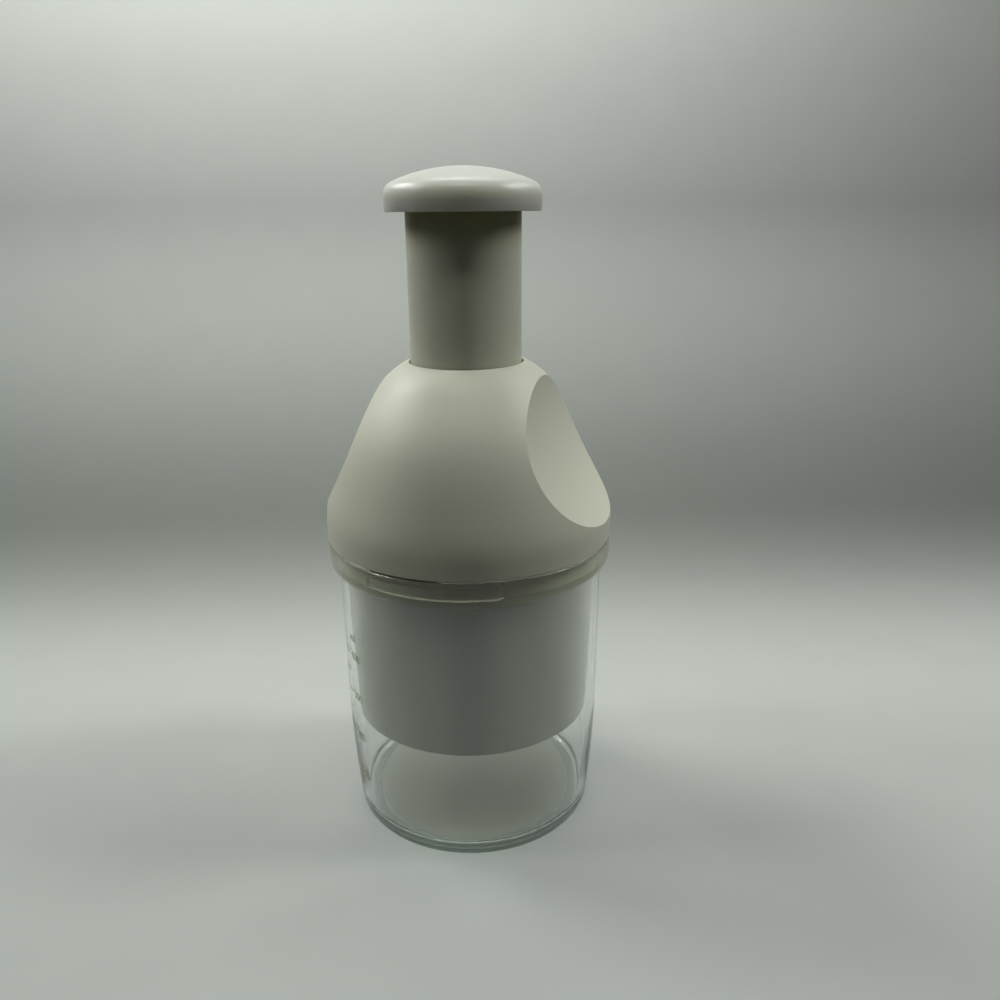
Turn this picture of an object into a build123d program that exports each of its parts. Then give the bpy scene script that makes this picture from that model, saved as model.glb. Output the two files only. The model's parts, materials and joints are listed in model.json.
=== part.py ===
"""Plunger food chopper: a clear cup, a white chopper that locks into its collar, and a sprung press.

Millimetres, +Z up, origin on the table under the middle of the cup. Angles are measured from +X, and the
front of the chopper is at -90 degrees. The chopper is at rest: press up, lugs in the cup's entry gaps.
"""

import os
from math import atan2, cos, degrees, radians, sin, sqrt

from build123d import *

os.makedirs("parts", exist_ok=True)

# ---------------------------------------------------------------- clearances
running_fit = 0.08  # radial, a shaft or tube in its bearing
sliding_gap = 0.3  # radial, a moulded piece that turns or slides in another
seat_gap = 0.1  # axial, one body standing on another
press_gap = 0.05  # radial, a piece held still in its seat

# ---------------------------------------------------------------- clear cup
cup_height = 106.6
cup_belly_height = 45.0  # below it the wall draws in towards the foot
cup_draft = 0.4  # how far the wall leans in from the collar down to the belly
cup_foot_draw = 2.4  # how far it then draws in to the foot
cup_wall = 1.8
cup_floor = 2.6
cup_foot_rounding = 2.0
cup_inner_rounding = 4.0
cup_foot_turn = 84  # the wall leans out this far round from the foot
foot_ring_width = 5.0
foot_recess = 0.7
collar_radius = 49.8
collar_step = 2.8  # how far the collar stands out from the wall
collar_wall = 3.4
collar_height = 6.6
collar_flare = 1.2  # how far under its seat the collar starts to swell
collar_flare_rise = 0.35  # rise of the swelling for each millimetre out, where it starts
collar_seat_depth = 8.8
rim_rounding = 0.6
cut_overshoot = 1.0  # how far a cut starts outside the piece it cuts

# ---------------------------------------------------------------- bayonet
lug_count = 3
front_angle = -90.0
entry_half_angle = 12.0
lug_half_angle = 10.5
lock_angle = 32.0
channel_height = 4.0
pocket_depth = 1.5
pocket_corner = 1.3
lug_lift = 0.5
lug_drop = 0.4
lug_edge = 0.3
key_angle = 90.0
key_half_angle = 2.6
key_play_angle = 0.5

# ---------------------------------------------------------------- blade guard
guard_cup_gap = 0.4
guard_taper = 2.0
guard_wall = 1.8
guard_rim_edge = 0.4
guard_flange = 2.0
neck_wall = 1.8
neck_height = 5.2
snap_bead = 0.7
snap_bead_height = 1.1
wiper_recess = 5.6
wiper_ledge = 1.2
wiper_ledge_width = 1.6
wiper_thickness = 2.4
wiper_bead = 0.5
carrier_bead_gap = 2.2  # the carrier passes inside the wiper plate's bead

# ---------------------------------------------------------------- press travel and blade
blade_floor_gap = 0.5
blade_edge_lift = 1.0  # at rest the blade's edge stands this far inside the wiper plate
blade_turn_angle = 30.0
blade_thickness = 0.8
blade_slot_play = 0.6
blade_fold_radius = 2.4
blade_fold_half_width = 3.2
blade_inner_fold = 8.0  # distance of the inner fold from the middle, across the folds
blade_outer_fold = 23.5
blade_tip_inset = 3.5  # the blade's ends stop this far short of its reach, across the folds
blade_seat_depth = 1.5

# ---------------------------------------------------------------- blade carrier, hub and ratchet
carrier_thickness = 2.5
carrier_margin = 1.5
carrier_clearance = 0.5
carrier_recess = 0.8
hub_radius = 24.0
hub_flange = 2.0
hub_tower_radius = 11.0
hub_tower_height = 3.5
hub_web = 1.5
hub_screw_reach = 19.5
hub_screw_inner_reach = 16.4
hub_screw_inner_angle = -66.0
hub_screw_length = 3.6
tooth_count = 12
tooth_height = 1.2
tooth_shaft_gap = 1.5
tooth_margin = 0.5
tooth_play = 0.15
tooth_root = 0.5  # how deep a tooth is rooted in its body
driver_height = 2.9
driver_boss_gap = 0.35
driver_pin_radius = 1.0
pin_edge = 0.2

# ---------------------------------------------------------------- drive shaft and cam
shaft_radius = 5.0
shaft_nose_radius = 4.0
shaft_neck_radius = 3.0
shaft_end_gap = 0.2
clip_thickness = 0.7
clip_groove_depth = 0.7
clip_radius = 6.2
clip_mouth = 5.0
clip_drop = 0.3
wave_washer_radius = 7.0
wave_washer_thickness = 0.4
wave_washer_play = 0.5
cam_pin_radius = 1.0
cam_groove_play = 0.2
cam_groove_depth = 1.3
cam_groove_runout = 2.5
cam_bush_radius = 9.0
cam_pin_height = 2.8
cam_boss_wall = 3.0
cam_boss_drop = 3.5

# ---------------------------------------------------------------- bayonet base
base_plate = 2.5
base_drop = 7.0
spigot_wall = 1.4
spigot_lip_height = 2.5

# ---------------------------------------------------------------- housing
housing_foot_gap = 0.5
housing_overhang = 0.2
housing_wall = 2.4
housing_roof = 2.6
housing_skirt = 5.5
blend_drop = 41.6  # heights on the bell are measured down from its top
blend_inset = 2.1
flank_drop = 23.6
flank_inset = 8.65
shoulder_drop = 6.6
shoulder_step = 7.65
lip_land = 1.8
lip_rise = 0.5
tube_mouth_gap = 0.7
flank_slant = 1.2  # wall thickness on the flank, measured level, against housing_wall
shoulder_slope = 1.07  # fall of the bell for each millimetre out, at the shoulder
foot_edge = 0.4

# ---------------------------------------------------------------- finger scoops
scoop_angle = -19.5
scoop_radius = 62.0
scoop_sleeve_gap = 0.7
scoop_axis_drop = 3.2
scoop_length = 160.0

# ---------------------------------------------------------------- press tube, sleeve and bush
tube_radius = 18.7
tube_wall = 2.0
tube_flange = 2.0
tube_flange_lift = 2.0
tube_floor_gap = 0.5
tube_key_reach = 1.3
tube_key_half_angle = 4.0
tube_grip = 2.8
sleeve_wall = 2.2
sleeve_foot = 2.0
sleeve_foot_margin = 0.8
sleeve_screw_gap = 0.6
sleeve_screw_count = 3
sleeve_screw_length = 4.0
bumper_height = 2.0
bumper_gap = 0.2
bumper_play = 0.5
bush_height = 5.7
bush_land = 1.5

# ---------------------------------------------------------------- return spring
spring_radius = 12.0
spring_wire_radius = 0.8
spring_turns = 12
spring_seat_thickness = 1.2
spring_seat_margin = 1.6
seat_lip_height = 1.5
seat_bore_play = 1.0

# ---------------------------------------------------------------- knob and plug
knob_stop_gap = 3.5  # between the knob and the housing with the press right down
knob_overhang = 6.6
knob_height = 13.7
knob_dome_inset = 4.4
knob_dome_drop = 3.9
knob_dome_mid_drop = 0.95
knob_waist_height = 4.6
knob_edge_inset = 0.35
knob_wall = 2.8
knob_edge_steep = 5.0  # fall of the knob's side for each millimetre in, at its lower edge
knob_recess = 4.0
knob_socket_wall = 1.8
knob_rim = 2.0
knob_hollow = 15.0
knob_stub_length = 5.0
plug_wall = 2.6
plug_height = 14.2
plug_web = 3.0

# ---------------------------------------------------------------- screws
base_screw_inset = 9.05
base_screw_spread = 30.0
base_screw_shank = 1.4
base_screw_head = 2.6
base_screw_length = 10.0
small_screw_shank = 1.2
small_screw_head = 2.2
head_height = 1.5
screw_socket = 0.8
socket_depth = 0.8
screw_play = 0.1
boss_wall = 2.0
boss_height = 13.0
rib_height = 8.5
rib_sink = 0.3
rib_half_angle = 1.3
shaft_screw_length = 10.0
shaft_washer_radius = 6.0
shaft_washer_thickness = 1.0

# ---------------------------------------------------------------- heights worked out from the sizes above
collar_seat_z = cup_height - collar_seat_depth
flare_z = collar_seat_z - collar_flare
guard_flange_z = collar_seat_z + seat_gap
guard_top_z = guard_flange_z + guard_flange
slot_floor_z = guard_top_z + seat_gap
channel_top_z = slot_floor_z + channel_height
housing_foot_z = cup_height + housing_foot_gap
base_top_z = housing_foot_z + base_plate
spigot_foot_z = housing_foot_z - base_drop
cam_boss_z = housing_foot_z - cam_boss_drop
cam_pin_z = cam_boss_z + cam_pin_height

# the press starts with the driver under the cam boss and ends with the blade's edge over the cup's floor,
# so the plates and teeth that move down take their height from the room that it has
moving_height = carrier_thickness + hub_tower_height + tooth_height + tooth_play + driver_height
below_carrier = cup_floor + blade_floor_gap - blade_edge_lift + wiper_thickness + carrier_clearance
press_travel = (cam_boss_z - driver_boss_gap - moving_height - below_carrier) / 2

blade_edge_z = cup_floor + blade_floor_gap + press_travel
wiper_z = blade_edge_z - blade_edge_lift
wiper_top_z = wiper_z + wiper_thickness
guard_rim_z = wiper_z - wiper_recess
carrier_z = wiper_top_z + carrier_clearance + press_travel
hub_z = carrier_z + carrier_thickness
hub_top_z = hub_z + hub_tower_height
driver_z = hub_top_z + tooth_height + tooth_play
tube_flange_z = base_top_z + tube_floor_gap + press_travel
bumper_z = tube_flange_z + tube_flange + bumper_gap
bush_z = bumper_z + bumper_height
bush_seat_z = bush_z + bush_height + seat_gap
housing_top_z = bush_seat_z + housing_roof
knob_z = housing_top_z + press_travel + knob_stop_gap
knob_top_z = knob_z + knob_height
plug_z = knob_z - plug_height
spring_foot_z = base_top_z + spring_seat_thickness
spring_head_z = plug_z - spring_seat_thickness

# ---------------------------------------------------------------- radii worked out from the sizes above
cup_top_radius = collar_radius - collar_step
cup_belly_radius = cup_top_radius - cup_draft
cup_foot_radius = cup_belly_radius - cup_foot_draw
collar_bore_radius = collar_radius - collar_wall
pocket_radius = collar_bore_radius + pocket_depth
slot_inner_radius = collar_bore_radius - cut_overshoot
guard_top_radius = cup_top_radius - cup_wall - guard_cup_gap
guard_rim_radius = guard_top_radius - guard_taper
spigot_radius = collar_bore_radius - sliding_gap
spigot_bore_radius = spigot_radius - spigot_wall
neck_radius = spigot_bore_radius - sliding_gap - snap_bead
housing_radius = collar_radius + housing_overhang
plate_radius = housing_radius - housing_wall - press_gap
base_screw_radius = plate_radius - base_screw_inset
tube_bore_radius = tube_radius - tube_wall
flange_radius = tube_radius + tube_flange_lift
sleeve_bore_radius = flange_radius + sliding_gap
sleeve_radius = sleeve_bore_radius + sleeve_wall
sleeve_screw_radius = sleeve_radius + small_screw_head + sleeve_screw_gap
sleeve_foot_radius = sleeve_screw_radius + small_screw_head + sleeve_foot_margin
bush_bore_radius = tube_radius + running_fit
bush_radius = sleeve_bore_radius + bush_land
mouth_radius = tube_radius + tube_mouth_gap
lip_radius = mouth_radius + lip_land
shoulder_radius = lip_radius + shoulder_step
scoop_axis_reach = sleeve_radius + scoop_sleeve_gap + housing_wall + scoop_radius
plug_radius = tube_bore_radius - press_gap
plug_bore_radius = plug_radius - plug_wall
knob_radius = tube_radius + knob_overhang
knob_dome_radius = knob_radius - knob_dome_inset
knob_edge_radius = knob_radius - knob_edge_inset
knob_recess_radius = tube_radius + press_gap + knob_socket_wall
knob_stub_radius = plug_bore_radius - press_gap
cam_boss_radius = cam_bush_radius + press_gap + cam_boss_wall
hub_cavity_radius = wave_washer_radius + wave_washer_play
tooth_inner_radius = shaft_radius + tooth_shaft_gap
tooth_outer_radius = hub_tower_radius - tooth_margin
base_hole_radius = base_screw_shank + screw_play
small_hole_radius = small_screw_shank + screw_play
boss_radius = base_hole_radius + boss_wall
spring_seat_radius = spring_radius + spring_wire_radius + spring_seat_margin
seat_lip_radius = spring_radius + spring_wire_radius + sliding_gap
seat_bore_radius = shaft_radius + seat_bore_play
tooth_pitch = 360 / tooth_count

boss_angles = [
    scoop_angle + side + spread
    for side in (90, 270)
    for spread in (-base_screw_spread, base_screw_spread)
]
tube_key_angles = (scoop_angle + 90, scoop_angle + 270)


def polar_point(radius, angle):
    """The point at a radius and an angle from +X."""
    return radius * cos(radians(angle)), radius * sin(radians(angle))


hub_screw_places = [
    polar_point(hub_screw_reach, 0),
    polar_point(hub_screw_reach, 180),
    polar_point(hub_screw_inner_reach, hub_screw_inner_angle),
    polar_point(hub_screw_inner_reach, hub_screw_inner_angle + 180),
]
base_screw_places = [polar_point(base_screw_radius, angle) for angle in boss_angles]
sleeve_screw_places = [
    polar_point(sleeve_screw_radius, boss_angles[0] + turn * 360 / sleeve_screw_count)
    for turn in range(sleeve_screw_count)
]


def half_section(*points):
    """A closed face from (radius, height) points, to be turned about the Z axis."""
    with BuildSketch(Plane.XZ) as section:
        with BuildLine():
            Polyline(*points, close=True)
        make_face()
    return section.sketch


def ring_section(bore, outer, low, high):
    """The half section of a plain ring or, with a bore of zero, of a disc."""
    return half_section((bore, low), (outer, low), (outer, high), (bore, high))


def ring_sector(height, inner, outer, middle_angle, half_angle):
    """A flat sector of a ring at a height, centred on middle_angle."""
    start = middle_angle - half_angle
    with BuildSketch(Plane.XY.offset(height)) as sector:
        with BuildLine():
            far = CenterArc((0, 0), outer, start, 2 * half_angle)
            near = CenterArc((0, 0), inner, start, 2 * half_angle)
            Line(far @ 0, near @ 0)
            Line(far @ 1, near @ 1)
        make_face()
    return sector.sketch


def socket_screw(seat_z, shank, head, length, point_down=True):
    """A screw on the Z axis whose head sits on seat_z, with its shank below it, or above it."""
    way = -1 if point_down else 1
    with BuildPart() as screw:
        with BuildSketch(Plane.XY.offset(seat_z)):
            Circle(head)
        extrude(amount=-way * head_height)
        with BuildSketch(Plane.XY.offset(seat_z)):
            Circle(shank)
        extrude(amount=way * length)
        with BuildSketch(Plane.XY.offset(seat_z - way * head_height)):
            RegularPolygon(screw_socket, 6)
        extrude(amount=way * socket_depth, mode=Mode.SUBTRACT)
    return screw.part


# ================================================================ clear cup
def cup_wall_radius(height):
    """Outer radius of the cup's wall between the belly and the collar."""
    share = (height - cup_belly_height) / (cup_height - cup_belly_height)
    return cup_belly_radius + (cup_top_radius - cup_belly_radius) * share


def cup_section(inset, low, high, corner):
    """Half section of the cup's body, drawn in by inset, from low to high."""
    with BuildSketch(Plane.XZ) as section:
        with BuildLine():
            foot = Line((0, low), (cup_foot_radius - inset - corner, low))
            turn = JernArc(foot @ 1, foot % 1, corner, cup_foot_turn)
            belly = Spline(
                turn @ 1,
                (cup_belly_radius - inset, cup_belly_height),
                tangents=[turn % 1, (cup_top_radius - cup_belly_radius, cup_height - cup_belly_height)],
            )
            Polyline(belly @ 1, (cup_wall_radius(high) - inset, high), (0, high), (0, low))
        make_face()
    return section.sketch


def collar_section():
    """Half section of the collar, which swells out of the wall to carry the bayonet."""
    with BuildSketch(Plane.XZ) as section:
        with BuildLine():
            flare = Spline(
                (cup_wall_radius(flare_z), flare_z),
                (collar_radius, cup_height - collar_height),
                tangents=[(1, collar_flare_rise), (0, 1)],
            )
            side = Line(flare @ 1, (collar_radius, cup_height - rim_rounding))
            edge = JernArc(side @ 1, side % 1, rim_rounding, 90)
            Polyline(edge @ 1, (0, cup_height), (0, flare_z), flare @ 0)
        make_face()
    return section.sketch


with BuildPart() as lock_pocket:
    # one bayonet slot at the front: an entry gap open at the top, and a channel that runs under a ledge
    channel_half_angle = (lock_angle + entry_half_angle + lug_half_angle + key_play_angle * 2) / 2
    channel_middle = front_angle + entry_half_angle - channel_half_angle
    extrude(
        ring_sector(slot_floor_z, slot_inner_radius, pocket_radius, front_angle, entry_half_angle),
        amount=cup_height - slot_floor_z + cut_overshoot,
    )
    extrude(
        ring_sector(slot_floor_z, slot_inner_radius, pocket_radius, channel_middle, channel_half_angle),
        amount=channel_height,
    )
    flat_edges = lock_pocket.edges().filter_by(GeomType.LINE).filter_by(Axis.Z, reverse=True)
    fillet(flat_edges.filter_by_position(Axis.Z, 0, channel_top_z + seat_gap), pocket_corner)

with BuildPart() as clear_cup:
    revolve(cup_section(0, 0, collar_seat_z, cup_foot_rounding), axis=Axis.Z)
    revolve(collar_section(), axis=Axis.Z)
    revolve(
        cup_section(cup_wall, cup_floor, cup_height, cup_inner_rounding), axis=Axis.Z, mode=Mode.SUBTRACT
    )
    revolve(
        ring_section(0, collar_bore_radius, collar_seat_z, cup_height), axis=Axis.Z, mode=Mode.SUBTRACT
    )
    revolve(
        ring_section(0, cup_foot_radius - cup_foot_rounding - foot_ring_width, 0, foot_recess),
        axis=Axis.Z,
        mode=Mode.SUBTRACT,
    )
    with PolarLocations(0, lug_count):
        add(lock_pocket.part, mode=Mode.SUBTRACT)
    extrude(
        ring_sector(
            collar_seat_z, slot_inner_radius, pocket_radius, key_angle, key_half_angle + key_play_angle
        ),
        amount=collar_seat_depth,
        mode=Mode.SUBTRACT,
    )
clear_cup.part.label = "clear_cup"


with BuildPart() as bayonet_lug:
    extrude(
        ring_sector(
            slot_floor_z + lug_lift,
            spigot_radius - spigot_wall / 2,
            pocket_radius - sliding_gap,
            front_angle,
            lug_half_angle,
        ),
        amount=channel_height - lug_lift - lug_drop,
    )
    chamfer(bayonet_lug.faces().sort_by(SortBy.AREA)[-1].edges(), lug_edge)


# ================================================================ blade guard
def guard_radius(height):
    """Outer radius of the guard's tapered wall."""
    share = (height - guard_rim_z) / (guard_flange_z - guard_rim_z)
    return guard_rim_radius + (guard_top_radius - guard_rim_radius) * share


wiper_radius = guard_radius(wiper_z) - guard_wall - sliding_gap
ledge_radius = wiper_radius - wiper_ledge_width
wiper_bead_radius = wiper_radius - wiper_bead + sliding_gap
carrier_radius = wiper_bead_radius - carrier_bead_gap
blade_reach = carrier_radius - carrier_margin

with BuildPart() as blade_guard:
    neck_bore_radius = neck_radius - neck_wall
    neck_top_z = guard_top_z + neck_height
    bead_z = spigot_foot_z + spigot_lip_height + seat_gap * 2
    revolve(
        half_section(
            (guard_radius(guard_rim_z) - guard_wall, guard_rim_z),
            (guard_rim_radius, guard_rim_z),
            (guard_top_radius, guard_flange_z),
            (spigot_radius, guard_flange_z),
            (spigot_radius, guard_top_z),
            (neck_radius, guard_top_z),
            (neck_radius, neck_top_z),
            (neck_bore_radius, neck_top_z),
            (neck_bore_radius, guard_flange_z),
            (guard_top_radius - guard_wall, guard_flange_z - guard_wall),
        ),
        axis=Axis.Z,
    )
    revolve(
        half_section(
            (neck_radius - neck_wall / 2, bead_z),
            (neck_radius + snap_bead, bead_z),
            (neck_radius + snap_bead, bead_z + snap_bead_height / 2),
            (neck_radius, bead_z + snap_bead_height),
            (neck_radius - neck_wall / 2, bead_z + snap_bead_height),
        ),
        axis=Axis.Z,
    )
    ledge_low_z = wiper_z - seat_gap - wiper_ledge
    revolve(
        ring_section(ledge_radius, guard_radius(wiper_z) - guard_wall / 2, ledge_low_z, wiper_z - seat_gap),
        axis=Axis.Z,
    )
    bead_low_z = wiper_top_z + seat_gap
    revolve(
        half_section(
            (guard_radius(bead_low_z) - guard_wall / 2, bead_low_z),
            (wiper_bead_radius, bead_low_z),
            (wiper_bead_radius, bead_low_z + wiper_bead / 2),
            (guard_radius(bead_low_z) - guard_wall / 2, bead_low_z + wiper_bead * 2),
        ),
        axis=Axis.Z,
    )
    extrude(
        ring_sector(guard_flange_z, neck_radius, pocket_radius - sliding_gap, key_angle, key_half_angle),
        amount=guard_flange,
    )
    chamfer(blade_guard.edges().group_by(Axis.Z)[0], guard_rim_edge)
blade_guard.part.label = "blade_guard"


# ================================================================ blade, wiper plate and carrier
def blade_path():
    """The folded line of the blade seen from above, the same after half a turn."""

    def on_reach(across, side):
        return across, side * sqrt(blade_reach**2 - across**2)

    half = [
        on_reach(blade_inner_fold - blade_fold_half_width, 1),
        on_reach(blade_inner_fold + blade_fold_half_width, 1),
        on_reach(blade_outer_fold - blade_fold_half_width, -1),
        on_reach(blade_outer_fold + blade_fold_half_width, -1),
        on_reach(blade_reach - blade_tip_inset, 1),
    ]
    other_half = [(-across, -along) for across, along in reversed(half)]
    with BuildLine() as path:
        FilletPolyline(*other_half, *half, radius=blade_fold_radius)
    return path.line


def blade_band(height, widen):
    """The blade's band as a flat shape at a height, made wider by widen all round."""
    with BuildSketch(Plane.XY.offset(height)) as band:
        trace(blade_path(), line_width=blade_thickness)
        if widen:
            offset(amount=widen)
    return band.sketch


with BuildPart() as zigzag_blade:
    blade_top_z = carrier_z + blade_seat_depth - press_gap
    extrude(blade_band(blade_edge_z, 0), amount=blade_top_z - blade_edge_z)
zigzag_blade.part.label = "zigzag_blade"

with BuildPart() as wiper_plate:
    revolve(ring_section(0, wiper_radius, wiper_z, wiper_top_z), axis=Axis.Z)
    extrude(blade_band(wiper_z, blade_slot_play), amount=wiper_thickness, mode=Mode.SUBTRACT)
    rim_edges = wiper_plate.edges().filter_by(GeomType.CIRCLE)
    chamfer(rim_edges.filter_by(lambda edge: edge.radius > blade_reach), wiper_bead / 2)
wiper_plate.part.label = "wiper_plate"

with BuildPart() as blade_carrier:
    revolve(ring_section(0, carrier_radius, carrier_z, hub_z), axis=Axis.Z)
    chamfer(blade_carrier.edges(), foot_edge)
    extrude(blade_band(carrier_z, press_gap), amount=blade_seat_depth, mode=Mode.SUBTRACT)
    with BuildSketch(Plane.XY.offset(hub_z)):
        Circle(hub_cavity_radius)
    extrude(amount=-carrier_recess, mode=Mode.SUBTRACT)
    with BuildSketch(Plane.XY.offset(hub_z)):
        with Locations(*hub_screw_places):
            Circle(small_hole_radius)
    extrude(amount=-(hub_screw_length - hub_flange + screw_play), mode=Mode.SUBTRACT)
blade_carrier.part.label = "blade_carrier"


# ================================================================ ratchet teeth
def ratchet_tooth(low, high):
    """The block of one face tooth between two heights, and the plane that its slope lies in."""
    middle = (tooth_inner_radius + tooth_outer_radius) / 2
    run = 2 * middle * sin(radians(tooth_pitch / 2))
    slope = atan2(tooth_height, run)
    side_play = degrees(tooth_play / tooth_outer_radius)
    with BuildPart() as tooth:
        extrude(
            ring_sector(low, tooth_inner_radius, tooth_outer_radius, 0, tooth_pitch / 2 - side_play),
            amount=high - low,
        )
    centre_z = hub_top_z + tooth_height / 2
    return tooth.part, Plane(origin=(0, 0, centre_z), z_dir=(0, sin(slope), cos(slope)))


with BuildPart() as hub_tooth:
    tooth_block, slope_plane = ratchet_tooth(hub_top_z - tooth_root, driver_z - tooth_play)
    add(tooth_block)
    split(bisect_by=slope_plane.offset(-tooth_play / 2), keep=Keep.BOTTOM)

with BuildPart() as driver_tooth:
    tooth_block, slope_plane = ratchet_tooth(hub_top_z + tooth_play, driver_z + tooth_root)
    add(tooth_block)
    split(bisect_by=slope_plane.offset(tooth_play / 2), keep=Keep.TOP)

with BuildPart() as blade_hub:
    revolve(
        half_section(
            (shaft_nose_radius + running_fit, hub_top_z),
            (hub_tower_radius, hub_top_z),
            (hub_tower_radius, hub_z + hub_flange),
            (hub_radius, hub_z + hub_flange),
            (hub_radius, hub_z),
            (hub_cavity_radius, hub_z),
            (hub_cavity_radius, hub_top_z - hub_web),
            (shaft_nose_radius + running_fit, hub_top_z - hub_web),
        ),
        axis=Axis.Z,
    )
    with BuildSketch(Plane.XY.offset(hub_z)):
        with Locations(*hub_screw_places):
            Circle(small_hole_radius)
    extrude(amount=hub_flange, mode=Mode.SUBTRACT)
    with PolarLocations(0, tooth_count):
        add(hub_tooth.part)
blade_hub.part.label = "blade_hub"

with BuildPart() as hub_screws:
    screw_seat_z = hub_z + hub_flange
    with Locations(*hub_screw_places):
        add(socket_screw(screw_seat_z, small_screw_shank, small_screw_head, hub_screw_length))
hub_screws.part.label = "hub_screws"

# ================================================================ drive shaft, ratchet driver and cam
shaft_end_z = hub_z - carrier_recess + shaft_end_gap
clip_z = shaft_end_z + clip_drop
shaft_shoulder_z = hub_top_z + seat_gap
shaft_top_z = plug_z - seat_gap
neck_end_z = plug_z + plug_web + seat_gap * 2
driver_top_z = driver_z + driver_height
driver_pin_z = driver_z + driver_height / 2


def cross_pin(plane, radius, start, end):
    """A round pin along a plane's normal, from start to end measured from the shaft's middle."""
    with BuildSketch(plane.offset(start)) as pin_end:
        Circle(radius)
    return extrude(pin_end.sketch, amount=end - start)


driver_pin_plane = Plane(origin=(0, 0, driver_pin_z), z_dir=(0, 1, 0))
cam_pin_plane = Plane(origin=(0, 0, cam_pin_z), z_dir=(1, 0, 0))
driver_pin_end = hub_tower_radius - driver_pin_radius
clip_groove_radius = shaft_nose_radius - clip_groove_depth

with BuildPart() as cam_groove:
    # over the whole press the groove leads the shaft through blade_turn_angle past a fixed pin
    groove_lead = press_travel * 360 / blade_turn_angle
    groove_start_angle = -cam_groove_runout * 360 / groove_lead
    groove_middle_radius = shaft_radius * 1.5 - cam_groove_depth
    groove_foot = Plane.XY.offset(cam_pin_z - cam_groove_runout).rotated((0, 0, groove_start_angle))
    with BuildLine(groove_foot) as groove_path:
        Helix(groove_lead, press_travel + 2 * cam_groove_runout, groove_middle_radius)
    with BuildSketch(Plane(groove_path.line @ 0, x_dir=groove_foot.x_dir, z_dir=groove_path.line % 0)):
        Rectangle(shaft_radius, 2 * (cam_pin_radius + cam_groove_play))
    sweep(path=groove_path.line, is_frenet=True)

with BuildPart() as drive_shaft:
    revolve(
        half_section(
            (0, shaft_end_z),
            (shaft_nose_radius, shaft_end_z),
            (shaft_nose_radius, clip_z),
            (clip_groove_radius, clip_z),
            (clip_groove_radius, clip_z + clip_thickness),
            (shaft_nose_radius, clip_z + clip_thickness),
            (shaft_nose_radius, shaft_shoulder_z),
            (shaft_radius, shaft_shoulder_z),
            (shaft_radius, shaft_top_z),
            (shaft_neck_radius, shaft_top_z),
            (shaft_neck_radius, neck_end_z),
            (0, neck_end_z),
        ),
        axis=Axis.Z,
    )
    revolve(
        ring_section(0, small_hole_radius, neck_end_z - shaft_screw_length - screw_play, neck_end_z),
        axis=Axis.Z,
        mode=Mode.SUBTRACT,
    )
    add(
        cross_pin(driver_pin_plane, driver_pin_radius + press_gap, -driver_pin_end, driver_pin_end),
        mode=Mode.SUBTRACT,
    )
    with PolarLocations(0, 2):
        add(cam_groove.part, mode=Mode.SUBTRACT)
drive_shaft.part.label = "drive_shaft"

with BuildPart() as ratchet_driver:
    revolve(ring_section(shaft_radius + press_gap, hub_tower_radius, driver_z, driver_top_z), axis=Axis.Z)
    with PolarLocations(0, tooth_count):
        add(driver_tooth.part)
    add(
        cross_pin(driver_pin_plane, driver_pin_radius + press_gap, -hub_radius, hub_radius),
        mode=Mode.SUBTRACT,
    )
ratchet_driver.part.label = "ratchet_driver"

with BuildPart() as driver_pin:
    add(cross_pin(driver_pin_plane, driver_pin_radius, -driver_pin_end, driver_pin_end))
    chamfer(driver_pin.edges().filter_by(GeomType.CIRCLE), pin_edge)
driver_pin.part.label = "driver_pin"

with BuildPart() as shaft_clip:
    with BuildSketch(Plane.XY.offset(clip_z + press_gap)):
        Circle(clip_radius)
        Circle(clip_groove_radius + press_gap, mode=Mode.SUBTRACT)
        with Locations((clip_radius, 0)):
            Rectangle(clip_radius * 2, clip_mouth, mode=Mode.SUBTRACT)
    extrude(amount=clip_thickness - 2 * press_gap)
shaft_clip.part.label = "shaft_clip"

with BuildPart() as ratchet_spring:
    washer_low_z = clip_z + clip_thickness - press_gap
    washer_high_z = hub_top_z - hub_web - seat_gap
    revolve(
        half_section(
            (shaft_nose_radius + sliding_gap, washer_low_z),
            (wave_washer_radius, washer_high_z - wave_washer_thickness),
            (wave_washer_radius, washer_high_z),
            (shaft_nose_radius + sliding_gap, washer_low_z + wave_washer_thickness),
        ),
        axis=Axis.Z,
    )
ratchet_spring.part.label = "ratchet_spring"

with BuildPart() as shaft_washer:
    washer_top_z = neck_end_z + shaft_washer_thickness
    revolve(ring_section(small_hole_radius, shaft_washer_radius, neck_end_z, washer_top_z), axis=Axis.Z)
shaft_washer.part.label = "shaft_washer"

with BuildPart() as shaft_screw:
    add(socket_screw(washer_top_z, small_screw_shank, small_screw_head, shaft_screw_length))
shaft_screw.part.label = "shaft_screw"

with BuildPart() as cam_bush:
    revolve(ring_section(shaft_radius + running_fit, cam_bush_radius, cam_boss_z, base_top_z), axis=Axis.Z)
    add(
        cross_pin(cam_pin_plane, cam_pin_radius + press_gap, -cam_boss_radius, cam_boss_radius),
        mode=Mode.SUBTRACT,
    )
cam_bush.part.label = "cam_bush"

with BuildPart() as cam_pins:
    pin_tip_radius = shaft_radius - cam_groove_depth + cam_groove_play
    with PolarLocations(0, 2):
        add(cross_pin(cam_pin_plane, cam_pin_radius, pin_tip_radius, cam_bush_radius))
cam_pins.part.label = "cam_pins"

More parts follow.
